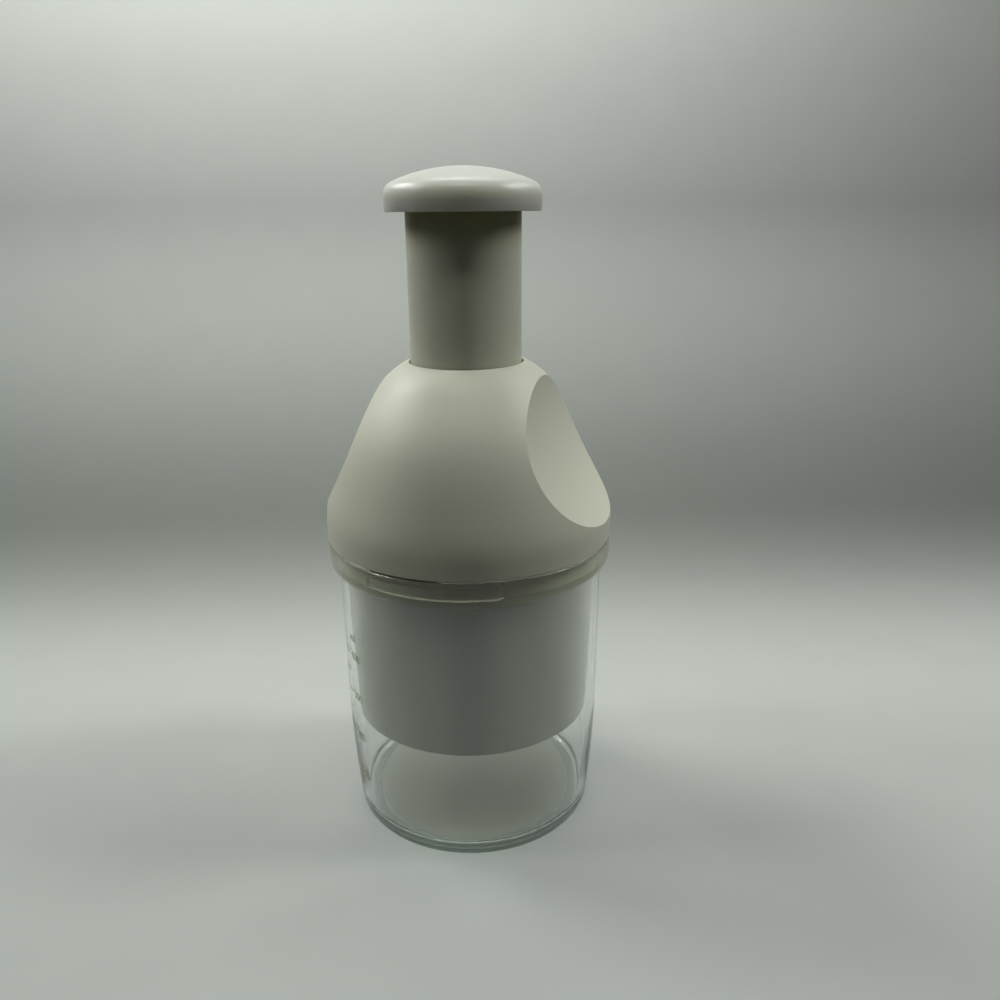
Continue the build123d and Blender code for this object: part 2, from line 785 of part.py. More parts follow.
# ================================================================ bayonet base
with BuildPart() as bayonet_base:
    lip_bore_radius = neck_radius + sliding_gap
    lip_top_z = spigot_foot_z + spigot_lip_height
    base_bore_radius = cam_bush_radius + press_gap
    revolve(
        half_section(
            (base_bore_radius, cam_boss_z),
            (cam_boss_radius, cam_boss_z),
            (cam_boss_radius, housing_foot_z),
            (spigot_bore_radius, housing_foot_z),
            (spigot_bore_radius, lip_top_z),
            (lip_bore_radius, lip_top_z),
            (lip_bore_radius, spigot_foot_z),
            (spigot_radius, spigot_foot_z),
            (spigot_radius, housing_foot_z),
            (plate_radius, housing_foot_z),
            (plate_radius, base_top_z),
            (base_bore_radius, base_top_z),
        ),
        axis=Axis.Z,
    )
    with PolarLocations(0, lug_count):
        add(bayonet_lug.part)
    with BuildSketch(Plane.XY.offset(base_top_z)):
        with Locations(*base_screw_places):
            Circle(base_hole_radius)
        with Locations(*sleeve_screw_places):
            Circle(small_hole_radius)
    extrude(amount=-base_plate, mode=Mode.SUBTRACT)
bayonet_base.part.label = "bayonet_base"

with BuildPart() as base_screws:
    with Locations(*base_screw_places):
        add(
            socket_screw(
                housing_foot_z, base_screw_shank, base_screw_head, base_screw_length, point_down=False
            )
        )
base_screws.part.label = "base_screws"


# ================================================================ housing
def bell_section(inset):
    """Half section of the bell, drawn in by inset. Its top is open to a lip or, inset, a flat roof."""
    side = housing_radius - inset
    slant = inset * flank_slant
    with BuildSketch(Plane.XZ) as section:
        with BuildLine():
            skirt = Line((side, housing_foot_z), (side, housing_foot_z + housing_skirt))
            flank = Spline(
                skirt @ 1,
                (side - blend_inset, housing_top_z - blend_drop),
                (housing_radius - flank_inset - slant, housing_top_z - flank_drop),
                (shoulder_radius - slant, housing_top_z - shoulder_drop),
                tangents=[(0, 1), (-1, shoulder_slope)],
            )
            if inset:
                Polyline(flank @ 1, (0, (flank @ 1).Y), (0, housing_foot_z), skirt @ 0)
            else:
                lip = TangentArc(flank @ 1, (lip_radius, housing_top_z - lip_rise), tangent=flank % 1)
                Polyline(lip @ 1, (mouth_radius, housing_top_z), (0, housing_top_z), (0, housing_foot_z), skirt @ 0)
        make_face()
    return section.sketch


def scoop_cutter(radius):
    """Two level cylinders across the housing, one on each side, that the finger scoops follow."""
    with BuildPart() as cutter:
        with PolarLocations(scoop_axis_reach, 2, start_angle=scoop_angle):
            Cylinder(radius, scoop_length, rotation=(90, 0, 0))
    return Pos(0, 0, housing_top_z - scoop_axis_drop) * cutter.part


with BuildPart() as housing_cavity:
    revolve(bell_section(housing_wall), axis=Axis.Z)
    add(scoop_cutter(scoop_radius + housing_wall), mode=Mode.SUBTRACT)

with BuildPart() as housing_shell:
    revolve(bell_section(0), axis=Axis.Z)
    add(scoop_cutter(scoop_radius), mode=Mode.SUBTRACT)
    add(housing_cavity.part, mode=Mode.SUBTRACT)
    revolve(
        half_section(
            (0, bush_z),
            (bush_radius + press_gap, bush_z),
            (bush_radius + press_gap, bush_seat_z),
            (mouth_radius, bush_seat_z),
            (mouth_radius, housing_top_z),
            (0, housing_top_z),
        ),
        axis=Axis.Z,
        mode=Mode.SUBTRACT,
    )
    for angle in boss_angles:
        extrude(
            ring_sector(
                base_top_z,
                base_screw_radius,
                housing_radius - housing_wall + rib_sink,
                angle,
                rib_half_angle,
            ),
            amount=rib_height,
        )
    with BuildSketch(Plane.XY.offset(base_top_z)):
        with Locations(*base_screw_places):
            Circle(boss_radius)
    extrude(amount=boss_height)
    with BuildSketch(Plane.XY.offset(base_top_z)):
        with Locations(*base_screw_places):
            Circle(base_hole_radius)
    extrude(amount=base_screw_length, mode=Mode.SUBTRACT)
    chamfer(housing_shell.edges().group_by(Axis.Z)[0], foot_edge)
housing_shell.part.label = "housing_shell"

# ================================================================ guide sleeve, bush and bumper
with BuildPart() as guide_sleeve:
    revolve(
        half_section(
            (sleeve_bore_radius, base_top_z),
            (sleeve_foot_radius, base_top_z),
            (sleeve_foot_radius, base_top_z + sleeve_foot),
            (sleeve_radius, base_top_z + sleeve_foot),
            (sleeve_radius, bush_z),
            (sleeve_bore_radius, bush_z),
        ),
        axis=Axis.Z,
    )
    for angle in tube_key_angles:
        extrude(
            ring_sector(
                base_top_z,
                flange_radius,
                flange_radius + tube_key_reach + sliding_gap,
                angle,
                tube_key_half_angle + key_play_angle,
            ),
            amount=bush_z - base_top_z,
            mode=Mode.SUBTRACT,
        )
    with BuildSketch(Plane.XY.offset(base_top_z)):
        with Locations(*sleeve_screw_places):
            Circle(small_hole_radius)
    extrude(amount=sleeve_foot, mode=Mode.SUBTRACT)
guide_sleeve.part.label = "guide_sleeve"

with BuildPart() as sleeve_screws:
    sleeve_seat_z = base_top_z + sleeve_foot
    with Locations(*sleeve_screw_places):
        add(socket_screw(sleeve_seat_z, small_screw_shank, small_screw_head, sleeve_screw_length))
sleeve_screws.part.label = "sleeve_screws"

with BuildPart() as bumper_ring:
    revolve(
        ring_section(tube_radius + bumper_play, sleeve_bore_radius - press_gap, bumper_z, bush_z), axis=Axis.Z
    )
bumper_ring.part.label = "bumper_ring"

with BuildPart() as top_bush:
    revolve(ring_section(bush_bore_radius, bush_radius, bush_z, bush_z + bush_height), axis=Axis.Z)
top_bush.part.label = "top_bush"

# ================================================================ press tube, knob and plug
with BuildPart() as plunger_tube:
    revolve(
        half_section(
            (tube_bore_radius, tube_flange_z),
            (flange_radius, tube_flange_z),
            (flange_radius, tube_flange_z + tube_flange),
            (tube_radius, tube_flange_z + tube_flange),
            (tube_radius, knob_z + tube_grip - press_gap),
            (tube_bore_radius, knob_z + tube_grip - press_gap),
        ),
        axis=Axis.Z,
    )
    for angle in tube_key_angles:
        extrude(
            ring_sector(
                tube_flange_z, tube_radius, flange_radius + tube_key_reach, angle, tube_key_half_angle
            ),
            amount=tube_flange,
        )
plunger_tube.part.label = "plunger_tube"

with BuildPart() as knob_plug:
    revolve(
        half_section(
            (shaft_neck_radius + running_fit, plug_z),
            (plug_radius, plug_z),
            (plug_radius, knob_z),
            (plug_bore_radius, knob_z),
            (plug_bore_radius, plug_z + plug_web),
            (shaft_neck_radius + running_fit, plug_z + plug_web),
        ),
        axis=Axis.Z,
    )
knob_plug.part.label = "knob_plug"

with BuildPart() as press_knob:
    with BuildSketch(Plane.XZ) as knob_section:
        with BuildLine():
            dome_edge = (knob_dome_radius, knob_top_z - knob_dome_drop)
            dome_middle = (knob_dome_radius / 2, knob_top_z - knob_dome_mid_drop)
            dome = ThreePointArc((0, knob_top_z), dome_middle, dome_edge)
            corner = Spline(
                dome @ 1, (knob_radius, knob_z + knob_waist_height), tangents=[dome % 1, (0, -1)]
            )
            skirt = Spline(corner @ 1, (knob_edge_radius, knob_z), tangents=[(0, -1), (-1, -knob_edge_steep)])
            Polyline(skirt @ 1, (0, knob_z), dome @ 0)
        make_face()
    revolve(knob_section.sketch, axis=Axis.Z)
    revolve(ring_section(0, knob_stub_radius, knob_z - knob_stub_length, knob_z), axis=Axis.Z)
    for bore, outer, low, depth in (
        (plug_radius, tube_radius + press_gap, knob_z, tube_grip),
        (knob_recess_radius, knob_edge_radius - knob_rim, knob_z, knob_recess),
        (0, knob_stub_radius - knob_wall, knob_z - knob_stub_length, knob_hollow),
    ):
        revolve(ring_section(bore, outer, low, low + depth), axis=Axis.Z, mode=Mode.SUBTRACT)
press_knob.part.label = "press_knob"


# ================================================================ return spring and its seats
def spring_seat(seat_face, foot, lip_top):
    """A washer with a lip round the spring's end. Its flat side is at foot, its lip ends at lip_top."""
    return half_section(
        (seat_bore_radius, foot),
        (spring_seat_radius, foot),
        (spring_seat_radius, lip_top),
        (seat_lip_radius, lip_top),
        (seat_lip_radius, seat_face),
        (seat_bore_radius, seat_face),
    )


with BuildPart() as lower_spring_seat:
    revolve(spring_seat(spring_foot_z, base_top_z, spring_foot_z + seat_lip_height), axis=Axis.Z)
lower_spring_seat.part.label = "lower_spring_seat"

with BuildPart() as upper_spring_seat:
    revolve(spring_seat(spring_head_z, plug_z, spring_head_z - seat_lip_height), axis=Axis.Z)
upper_spring_seat.part.label = "upper_spring_seat"

with BuildPart() as return_spring:
    coil_height = spring_head_z - spring_foot_z - 2 * spring_wire_radius
    with BuildLine(Plane.XY.offset(spring_foot_z + spring_wire_radius)) as coil:
        Helix(coil_height / spring_turns, coil_height, spring_radius)
    with BuildSketch(Plane(coil.line @ 0, z_dir=coil.line % 0)):
        Circle(spring_wire_radius)
    sweep(path=coil.line, is_frenet=True)
    trim_low = Plane.XY.offset(spring_foot_z + press_gap)
    split(bisect_by=trim_low, keep=Keep.TOP)
    split(bisect_by=Plane.XY.offset(spring_head_z - press_gap), keep=Keep.BOTTOM)
return_spring.part.label = "return_spring"

# ================================================================ files
export_step(clear_cup.part, "parts/clear_cup.step")
export_step(blade_guard.part, "parts/blade_guard.step")
export_step(bayonet_base.part, "parts/bayonet_base.step")
export_step(base_screws.part, "parts/base_screws.step")
export_step(cam_bush.part, "parts/cam_bush.step")
export_step(cam_pins.part, "parts/cam_pins.step")
export_step(housing_shell.part, "parts/housing_shell.step")
export_step(guide_sleeve.part, "parts/guide_sleeve.step")
export_step(sleeve_screws.part, "parts/sleeve_screws.step")
export_step(top_bush.part, "parts/top_bush.step")
export_step(bumper_ring.part, "parts/bumper_ring.step")
export_step(lower_spring_seat.part, "parts/lower_spring_seat.step")
export_step(return_spring.part, "parts/return_spring.step")
export_step(press_knob.part, "parts/press_knob.step")
export_step(knob_plug.part, "parts/knob_plug.step")
export_step(plunger_tube.part, "parts/plunger_tube.step")
export_step(upper_spring_seat.part, "parts/upper_spring_seat.step")
export_step(drive_shaft.part, "parts/drive_shaft.step")
export_step(ratchet_driver.part, "parts/ratchet_driver.step")
export_step(driver_pin.part, "parts/driver_pin.step")
export_step(shaft_screw.part, "parts/shaft_screw.step")
export_step(shaft_washer.part, "parts/shaft_washer.step")
export_step(shaft_clip.part, "parts/shaft_clip.step")
export_step(ratchet_spring.part, "parts/ratchet_spring.step")
export_step(blade_hub.part, "parts/blade_hub.step")
export_step(hub_screws.part, "parts/hub_screws.step")
export_step(blade_carrier.part, "parts/blade_carrier.step")
export_step(zigzag_blade.part, "parts/zigzag_blade.step")
export_step(wiper_plate.part, "parts/wiper_plate.step")
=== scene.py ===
"""Plunger food chopper: finishes, return spring, cup scale, floor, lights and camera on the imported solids."""

import json
from math import cos, pi, radians, sin

import bmesh
import bpy
from mathutils import Matrix, Vector
from mathutils.bvhtree import BVHTree


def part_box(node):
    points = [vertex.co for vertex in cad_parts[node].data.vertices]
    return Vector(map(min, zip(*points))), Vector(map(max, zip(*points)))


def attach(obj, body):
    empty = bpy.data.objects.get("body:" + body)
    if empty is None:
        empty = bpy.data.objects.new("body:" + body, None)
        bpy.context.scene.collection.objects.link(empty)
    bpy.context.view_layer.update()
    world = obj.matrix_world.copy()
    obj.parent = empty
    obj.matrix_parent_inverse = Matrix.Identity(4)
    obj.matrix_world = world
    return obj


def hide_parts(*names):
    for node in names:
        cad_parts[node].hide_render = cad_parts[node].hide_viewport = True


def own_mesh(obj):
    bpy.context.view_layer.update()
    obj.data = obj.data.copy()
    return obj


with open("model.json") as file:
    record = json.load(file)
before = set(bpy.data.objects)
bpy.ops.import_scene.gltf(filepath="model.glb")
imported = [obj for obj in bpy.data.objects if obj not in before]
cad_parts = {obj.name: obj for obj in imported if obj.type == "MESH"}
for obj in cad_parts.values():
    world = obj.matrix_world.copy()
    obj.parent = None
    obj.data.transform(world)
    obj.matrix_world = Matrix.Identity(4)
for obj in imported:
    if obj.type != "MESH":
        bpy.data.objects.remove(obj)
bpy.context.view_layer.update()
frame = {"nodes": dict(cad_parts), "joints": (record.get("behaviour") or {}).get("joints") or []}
nodes = frame["nodes"]
scene = bpy.context.scene
scene.view_settings.view_transform = "Standard"

MM = 0.001
COLLAR_FOOT = 97.2 * MM  # where the cup's wall starts to swell into its collar
DISC_RADIUS = 37.0 * MM  # the cup's floor inside its foot ring


# ---------------------------------------------------------------- writing a finish
def srgb(red, green, blue):
    """A colour given as it looks on a screen, 0 to 255, as the renderer wants it."""
    shares = (level / 255 for level in (red, green, blue))
    return (*(s / 12.92 if s <= 0.04045 else ((s + 0.055) / 1.055) ** 2.4 for s in shares), 1)


class Wire:
    """A value that varies over a surface, with arithmetic that adds its Math nodes."""

    def __init__(self, finish, socket):
        self.finish = finish
        self.socket = socket

    def maths(self, operation, *values):
        return self.finish.node("Math", {"operation": operation}, dict(enumerate(values)))

    def __add__(self, other):
        return self.maths("ADD", self, other)

    def __rsub__(self, other):
        return self.maths("SUBTRACT", other, self)

    def __mul__(self, other):
        return self.maths("MULTIPLY", self, other)

    def __pow__(self, other):
        return self.maths("POWER", self, other)

    __radd__ = __add__
    __rmul__ = __mul__

    def between(self, low, high):
        """0 at low, 1 at high and smooth from one to the other."""
        settings = {"interpolation_type": "SMOOTHSTEP"}
        return self.finish.node("MapRange", settings, {"Value": self, "From Min": low, "From Max": high})

    def times(self, other):
        """A colour multiplied by another one."""
        settings = {"data_type": "RGBA", "blend_type": "MULTIPLY"}
        return self.finish.node("Mix", settings, {"Factor": 1.0, "A": self, "B": other}, "Result")

    def tint(self, at_0, at_1):
        """A colour that goes from at_0 to at_1 as this value goes from 0 to 1."""
        inputs = {"Factor": self, "A": at_0, "B": at_1}
        return self.finish.node("Mix", {"data_type": "RGBA"}, inputs, "Result")


class Nodes:
    """A node tree, with one way to add a node and to feed a socket."""

    def __init__(self, holder):
        holder.use_nodes = True
        self.tree = holder.node_tree

    def feed(self, socket, value):
        if isinstance(value, Wire):
            self.tree.links.new(value.socket, socket)
        else:
            socket.default_value = value

    def node(self, kind, settings, inputs, output=0):
        """A node of a kind, with its settings made first and then its sockets. Gives one output."""
        made = self.tree.nodes.new("ShaderNode" + kind)
        for name, value in settings.items():
            if name == "stops":
                self.fill_ramp(made.color_ramp, value)
            else:
                setattr(made, name, value)
        sockets = made.inputs
        if kind == "Mix":
            sockets = {s.name: s for s in made.inputs if s.enabled}
        for name, value in inputs.items():
            self.feed(sockets[name], value)
        outputs = {s.name: s for s in made.outputs if s.enabled}
        return Wire(self, outputs[output] if isinstance(output, str) else made.outputs[output])

    @staticmethod
    def fill_ramp(ramp, stops):
        """Give a colour ramp its stops, each a position and a colour, with a smooth curve through them."""
        ramp.interpolation = "CARDINAL"
        while len(ramp.elements) < len(stops):
            ramp.elements.new(0.5)
        for element, (position, colour) in zip(ramp.elements, stops):
            element.position = position
            element.color = colour

    def path(self, output):
        """What a ray has been through so far."""
        return self.node("LightPath", {}, {}, output)

    def looked_at(self):
        """1 for what the eye sees, also in a mirror or glass, and 0 for light that a surface gathers."""
        return 1 - self.path("Diffuse Depth").between(0, 1)


class Finish(Nodes):
    """A material made of nodes. Its uniform values sit on the shader's own sockets."""

    def __init__(self, name, **values):
        self.material = bpy.data.materials.new(name)
        super().__init__(self.material)
        self.shader = self.tree.nodes["Principled BSDF"]
        self.output = self.tree.nodes["Material Output"]
        for socket, value in values.items():
            self.set(socket.replace("_", " ").title().replace("Ior", "IOR"), value)

    def set(self, name, value):
        self.feed(self.shader.inputs[name], value)

    def place(self, axis=None):
        """Where a point is on the object, in metres, or one of its coordinates."""
        position = self.node("TexCoord", {}, {}, "Object")
        return position if axis is None else self.node("SeparateXYZ", {}, {"Vector": position}, axis)

    def reach(self):
        """How far a point is from the object's axis."""
        return (self.place("X") ** 2 + self.place("Y") ** 2) ** 0.5

    def stretched(self, scale):
        """The place on the object, scaled along each axis."""
        return self.node("Mapping", {}, {"Vector": self.place(), "Scale": scale})

    def noise(self, size, detail=2, roughness=0.5, where=None):
        """Smooth noise from 0 to 1 with bumps of a size in metres."""
        inputs = {"Scale": 1 / size, "Detail": detail, "Roughness": roughness}
        return self.node("TexNoise", {}, {"Vector": where or self.place(), **inputs})

    def bump(self, height, depth):
        """A relief of a depth in metres."""
        inputs = {"Height": height, "Distance": depth, "Strength": 1.0}
        self.set("Normal", self.node("Bump", {}, inputs, "Normal"))

    def show(self, shader):
        """Put a shader on the surface."""
        self.feed(self.output.inputs["Surface"], shader)

    def blend(self, share, first, second):
        """A mix of two shaders, the first where share is 0."""
        return self.node("MixShader", {}, {0: share, 1: first, 2: second})


def moulded_plastic(name, colour, roughness, grain, depth, shade=0.035, dark_from=None, **values):
    """Opaque moulded plastic: a fine grain, slow flow shades and a slightly uneven polish.

    From the height dark_from upwards its colour goes darker and yellower: painted shade that deepens a shadow
    there.
    """
    finish = Finish(name, ior=1.5, **values)
    flow = finish.noise(22 * MM, 3)
    specks = finish.noise(grain, 2, 0.6)
    darker = tuple(level * (1 - shade) for level in colour[:3]) + (1,)
    base = flow.tint(darker, colour)
    if dark_from:
        # painted shade: darker and yellower over 15 mm upwards from dark_from
        painted_shade = finish.place("Z").between(dark_from, dark_from + 15 * MM) * (0.7 + 0.6 * flow)
        base = base.times(painted_shade.tint((1, 1, 1, 1), (0.5, 0.45, 0.28, 1)))
    finish.set("Base Color", base)
    finish.set("Roughness", roughness - 0.05 + 0.1 * finish.noise(9 * MM, 2))
    finish.bump(specks, depth)
    return finish.material


def clear_plastic(name, colour, roughness):
    """Clear moulded plastic, hazy at the collar, and hazy grey on the base's disc as painted shade. Lamps shine
    through it.
    """
    finish = Finish(name, ior=1.5, transmission_weight=1.0)
    height = finish.place("Z")
    collar = height.between(COLLAR_FOOT - 0.6 * MM, COLLAR_FOOT + 0.3 * MM)
    finish.set("Base Color", collar.tint(colour, srgb(236, 238, 220)))
    streaks = finish.noise(12 * MM, 1).between(0.45, 0.9)
    finish.set("Roughness", roughness + 0.03 * streaks + 0.09 * collar)
    finish.bump(finish.noise(16 * MM, 1), 0.03 * MM)
    clear = Wire(finish, finish.shader.outputs[0])
    foot = 1 - height.between(3.0 * MM, 6.0 * MM)
    disc = foot * (1 - finish.reach().between(DISC_RADIUS - 0.3 * MM, DISC_RADIUS + 0.3 * MM))
    # On the base's disc the plastic turns hazy and a darker grey: painted shade for the shadow under the
    # chopper.
    colours = collar.tint(disc.tint(srgb(184, 190, 181), srgb(140, 141, 131)), srgb(186, 189, 170))
    hazy = finish.node("BsdfPrincipled", {}, {"Base Color": colours, "Roughness": 0.35, "IOR": 1.5})
    haze = 0.2 * collar + 0.16 * foot + 0.74 * disc
    open_to_lamps = finish.node("BsdfTransparent", {}, {"Color": srgb(233, 237, 235)})
    finish.show(finish.blend(finish.path("Is Shadow Ray"), finish.blend(haze, clear, hazy), open_to_lamps))
    return finish.material


def drawn_steel(name, colour, roughness, along):
    """Steel with fine lines along an axis and a cloudy sheen."""
    finish = Finish(name, metallic=1.0)
    scale = [1.0 if axis == along else 30.0 for axis in "XYZ"]
    lines = finish.noise(4 * MM, 3, 0.7, finish.stretched(scale))
    cloud = finish.noise(7 * MM, 2)
    darker = tuple(level * 0.8 for level in colour[:3]) + (1,)
    finish.set("Base Color", lines.tint(darker, colour))
    finish.set("Roughness", roughness - 0.06 + 0.12 * cloud)
    finish.bump(lines, 0.01 * MM)
    return finish.material


def black_rubber():
    """Matte rubber with a dusty bloom."""
    finish = Finish("black_rubber", specular_ior_level=0.3)
    dust = finish.noise(3 * MM, 3)
    finish.set("Base Color", dust.tint(srgb(30, 30, 30), srgb(52, 52, 50)))
    finish.set("Roughness", 0.65 + 0.2 * dust)
    finish.bump(finish.noise(0.4 * MM, 2), 0.02 * MM)
    return finish.material


knob_gloss = moulded_plastic(
    "knob_gloss", srgb(215, 219, 205), 0.36, 1.2 * MM, 0.004 * MM, 0.02,
    subsurface_weight=1.0, subsurface_scale=12 * MM, subsurface_radius=(1.0, 1.0, 0.8),
    coat_weight=0.2, coat_roughness=0.32,
)
stub_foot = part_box("press_knob")[0][2]  # the knob's stub reaches this far down into the tube
# The tube's top, from 9 mm below the knob's stub upwards, gets painted shade for the shadow under the knob.
tube_satin = moulded_plastic(
    "tube_satin", srgb(211, 215, 193), 0.42, 0.6 * MM, 0.006 * MM, dark_from=stub_foot - 9 * MM
)
housing_grain = moulded_plastic("housing_grain", srgb(215, 218, 197), 0.46, 0.45 * MM, 0.03 * MM)
# The guard and wiper plate are written darker than the white housing: painted shade for their dim place inside
# the cup.
guard_satin = moulded_plastic("guard_satin", srgb(168, 170, 158), 0.3, 0.8 * MM, 0.006 * MM)
inner_plastic = moulded_plastic("inner_plastic", srgb(222, 222, 216), 0.5, 0.6 * MM, 0.01 * MM)
cup_clear = clear_plastic("cup_clear", srgb(250, 252, 251), 0.01)
blade_steel = drawn_steel("blade_steel", srgb(205, 206, 208), 0.26, "Z")
bright_steel = drawn_steel("bright_steel", srgb(208, 209, 210), 0.3, "Z")
spring_wire = drawn_steel("spring_wire", srgb(172, 173, 175), 0.32, "X")
bumper_black = black_rubber()

FINISH_OF = {
    cup_clear: ["clear_cup"],
    guard_satin: ["blade_guard", "wiper_plate"],
    housing_grain: ["housing_shell", "bayonet_base"],
    tube_satin: ["plunger_tube"],
    knob_gloss: ["press_knob"],
    inner_plastic: [
        "cam_bush", "guide_sleeve", "top_bush", "lower_spring_seat", "upper_spring_seat",
        "knob_plug", "drive_shaft", "ratchet_driver", "blade_hub", "blade_carrier",
    ],
    blade_steel: ["zigzag_blade"],
    bright_steel: [
        "base_screws", "cam_pins", "sleeve_screws", "driver_pin", "shaft_screw", "shaft_washer",
        "shaft_clip", "hub_screws",
    ],
    spring_wire: ["return_spring", "ratchet_spring"],
    bumper_black: ["bumper_ring"],
}
for finish, names in FINISH_OF.items():
    for name in names:
        slots = nodes[name].data.materials
        slots.clear()
        slots.append(finish)


# ---------------------------------------------------------------- the return spring
SPRING_TURNS = 12
OPEN_TURNS = SPRING_TURNS - 2  # the first and the last turn lie closed
SPRING_WIRE = 0.8 * MM  # radius of the wire


def mesh_of(data):
    """The mesh that a curve or a text gives. The curve or text is deleted."""
    shown = bpy.data.objects.new("shown", data)
    scene.collection.objects.link(shown)
    mesh = bpy.data.meshes.new_from_object(shown.evaluated_get(bpy.context.evaluated_depsgraph_get()))
    bpy.data.objects.remove(shown)
    return mesh


def return_coil():
    """The return spring, a round wire with closed end turns."""
    low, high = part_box("return_spring")
    foot, head = low.z + SPRING_WIRE, high.z - SPRING_WIRE
    wire = bpy.data.curves.new("wire", "CURVE")
    wire.dimensions = "3D"
    wire.bevel_depth = SPRING_WIRE
    wire.bevel_resolution = 3
    wire.use_fill_caps = True
    line = wire.splines.new("POLY")
    steps_a_turn = 36
    line.points.add(SPRING_TURNS * steps_a_turn)
    for i, point in enumerate(line.points):
        turns = i / steps_a_turn
        climb = min(max(turns - 1, 0), OPEN_TURNS) / OPEN_TURNS
        closed = turns - OPEN_TURNS * climb
        height = foot + 2 * SPRING_WIRE * closed + (head - foot - 4 * SPRING_WIRE) * climb
        angle = 2 * pi * turns
        reach = high.x - SPRING_WIRE
        point.co = (reach * cos(angle), reach * sin(angle), height, 1)
    mesh = mesh_of(wire)
    mesh.shade_smooth()
    mesh.materials.clear()
    mesh.materials.append(spring_wire)
    coil = bpy.data.objects.new("return_coil", mesh)
    scene.collection.objects.link(coil)
    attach(coil, "housing")
    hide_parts("return_spring")
    travel = next(-joint["range_m"][0] for joint in frame["joints"] if joint["name"] == "press")
    1 - travel / (high.z - low.z)
    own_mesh(coil)


return_coil()


# ---------------------------------------------------------------- the measuring scale printed on the cup
SCALE_ANGLE = radians(200)
SCALE_HEIGHTS = {  # millilitres: millimetres
    50: 11.2, 100: 19.6, 150: 27.8, 200: 35.9, 250: 43.9, 300: 51.8, 350: 59.7, 400: 67.6
}
UNIT_HEIGHT = 75 * MM
WALL_RADIUS = 46.6 * MM
TICKS_START, LONG_TICK, SHORT_TICK = -5 * MM, 8 * MM, 5 * MM
WORDS_START, LETTER_SIZE = 4 * MM, 4.6 * MM
INK_SUNK, INK_PROUD = 0.03 * MM, 0.09 * MM
cup_mesh = nodes["clear_cup"].data
cup_skin = BVHTree.FromPolygons(
    [vertex.co for vertex in cup_mesh.vertices], [face.vertices[:] for face in cup_mesh.polygons]
)


def on_the_wall(across, height, proud):
    """A point of the print: so far across and up, standing so far proud of the cup's wall."""
    angle = SCALE_ANGLE + across / WALL_RADIUS
    outward = Vector((cos(angle), sin(angle), 0))
    well_outside = outward * 80 * MM + Vector((0, 0, height))
    hit = cup_skin.ray_cast(well_outside, -outward)[0]
    return hit + outward * proud


def print_tick(scale, height, length):
    """A thin line across the scale."""
    steps, half = 8, 0.3 * MM
    rows = [
        [
            scale.verts.new(on_the_wall(TICKS_START + length * i / steps, height + up * half, proud))
            for up, proud in ((-1, -INK_SUNK), (-1, INK_PROUD), (1, INK_PROUD), (1, -INK_SUNK))
        ]
        for i in range(steps + 1)
    ]
    for near, far in zip(rows, rows[1:]):
        for i in range(4):
            scale.faces.new((near[i], near[i - 1], far[i - 1], far[i]))
    scale.faces.new(rows[0])
    scale.faces.new(reversed(rows[-1]))


def print_words(scale, words, height):
    """Small upright lettering that follows the wall."""
    letters = bpy.data.curves.new("lettering", "FONT")
    letters.body = words
    letters.size = LETTER_SIZE
    letters.align_y = "CENTER"
    letters.resolution_u = 3
    letters.extrude = (INK_SUNK + INK_PROUD) / 2
    flat = mesh_of(letters)
    middle = (INK_PROUD - INK_SUNK) / 2
    for vertex in flat.vertices:
        x, y, z = vertex.co
        vertex.co = on_the_wall(WORDS_START + x, height + y, middle + z)
    scale.from_mesh(flat)
    bpy.data.meshes.remove(flat)


def cup_scale():
    """Lines and numbers for millilitres, printed in a pale ink."""
    scale = bmesh.new()
    for volume, height in SCALE_HEIGHTS.items():
        numbered = volume % 100 == 0
        print_tick(scale, height * MM, LONG_TICK if numbered else SHORT_TICK)
        if numbered:
            print_words(scale, str(volume), height * MM)
    print_words(scale, "ml", UNIT_HEIGHT)
    mesh = bpy.data.meshes.new("cup_scale")
    bmesh.ops.recalc_face_normals(scale, faces=scale.faces)
    scale.to_mesh(mesh)
    scale.free()
    ink = Finish("scale_ink", roughness=0.5, alpha=0.6)
    ink.set("Base Color", ink.noise(0.8 * MM, 2).tint(srgb(186, 194, 146), srgb(200, 207, 162)))
    mesh.materials.append(ink.material)
    marks = bpy.data.objects.new("cup_scale", mesh)
    scene.collection.objects.link(marks)
    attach(marks, "cup")


cup_scale()


# ---------------------------------------------------------------- floor, backdrop, lights and camera
MIDDLE = (0, 0, 0.1)  # where the lamps aim


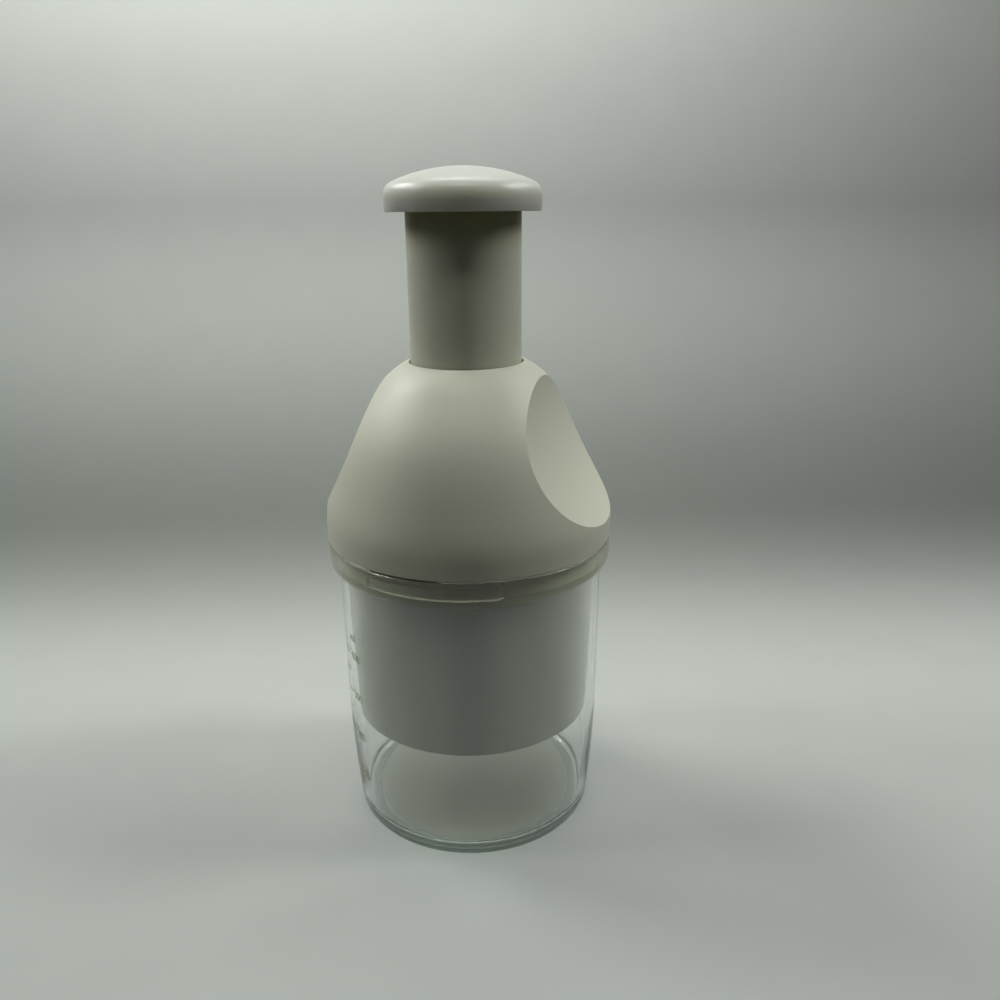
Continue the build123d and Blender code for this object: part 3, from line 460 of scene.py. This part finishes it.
def sweep_ground():
    """A pale floor that curves up into a backdrop, grey at its foot and pale again at its top, with painted
    shade at the bend.
    """
    bend_y, bend_radius, wide, near, high = 0.17, 0.22, 2.2, -2.0, 0.46
    section = [(near, 0.0), (bend_y, 0.0)]
    steps = 24
    section += [
        (bend_y + bend_radius * sin(pi / 2 * i / steps), bend_radius * (1 - cos(pi / 2 * i / steps)))
        for i in range(1, steps + 1)
    ]
    section.append((bend_y + bend_radius, high))
    corners = [(x, y, z) for y, z in section for x in (-wide, wide)]
    faces = [(2 * i, 2 * i + 1, 2 * i + 3, 2 * i + 2) for i in range(len(section) - 1)]
    mesh = bpy.data.meshes.new("sweep")
    mesh.from_pydata(corners, [], faces)
    mesh.shade_smooth()
    sweep = bpy.data.objects.new("sweep", mesh)
    scene.collection.objects.link(sweep)
    paper = Finish("sweep_paper", roughness=0.9, specular_ior_level=0.2)
    along = paper.place("Y") + paper.place("Z") + 0.1  # roughly how far along the paper a point lies
    pale_floor, grey_foot, pale_top = srgb(180, 185, 179), srgb(115, 120, 114), srgb(200, 205, 199)
    # The grey foot is painted shade where the paper bends up.
    tones = [(0.2, pale_floor), (0.4, grey_foot), (0.8, pale_top)]
    tone = paper.node("ValToRGB", {"stops": tones}, {"Fac": along}, "Color")
    fibre = paper.noise(30 * MM, 3).tint((0.97, 0.97, 0.97, 1), (1.03, 1.03, 1.03, 1))
    # For light that surfaces gather, the paper is a dark warm grey, which deepens the shade on the object's
    # front.
    paper.set("Base Color", paper.looked_at().tint(srgb(57, 56, 47), tone.times(fibre)))
    mesh.materials.append(paper.material)


def soft_lamp(name, place, aim, size, watts, spread):
    """A rectangular lamp aimed at a point. Its spread, in degrees, is how wide it throws."""
    lamp = bpy.data.lights.new(name, "AREA")
    lamp.spread = radians(spread)
    lamp.shape = "RECTANGLE"
    lamp.size, lamp.size_y = size
    lamp.energy = watts
    lit = bpy.data.objects.new(name, lamp)
    lit.location = place
    lit.rotation_euler = (Vector(aim) - Vector(place)).to_track_quat("-Z", "Y").to_euler()
    scene.collection.objects.link(lit)


sweep_ground()
soft_lamp("back_lamp", (0, 1.6, 2.6), MIDDLE, (2.0, 0.6), 2.3, 60)
soft_lamp("left_back_lamp", (-1.9, 1.2, 2.0), MIDDLE, (1.2, 1.2), 5.1, 60)
soft_lamp("left_lamp", (-2.2, 0, 2.0), MIDDLE, (0.6, 1.2), 1.7, 60)
soft_lamp("right_back_lamp", (1.9, 1.2, 2.0), MIDDLE, (1.2, 1.2), 1.9, 60)
soft_lamp("right_lamp", (2.2, 0, 2.0), MIDDLE, (0.6, 1.2), 3.1, 60)
soft_lamp("front_lamp", (0, -0.9, 3.0), MIDDLE, (2.0, 0.3), 2.2, 60)
soft_lamp("wall_wash", (-0.22, 0.05, 1.1), (-0.17, 0.39, 0.65), (0.6, 0.1), 4.4, 80)

world = bpy.data.worlds.new("room")
scene.world = world
room = Nodes(world)
background = room.tree.nodes["Background"]
room.feed(background.inputs["Color"], srgb(176, 182, 175))
room.feed(background.inputs["Strength"], 0.6 * room.looked_at())

camera = bpy.data.objects.new("camera", bpy.data.cameras.new("camera"))
camera.data.lens = 30.553
camera.data.sensor_width = 36
camera.data.clip_start = 0.01
pitch, yaw, roll = radians(18.7455), radians(2.1909), radians(-0.4925)
ahead = Vector((sin(yaw) * cos(pitch), cos(yaw) * cos(pitch), -sin(pitch)))
side = Vector((cos(yaw), -sin(yaw), 0))
above = side.cross(ahead)
side, above = cos(roll) * side + sin(roll) * above, cos(roll) * above - sin(roll) * side
eye = Matrix.Translation((0, -0.286469, 0.213971))
camera.matrix_world = eye @ Matrix((side, above, -ahead)).transposed().to_4x4()
scene.collection.objects.link(camera)
scene.camera = camera
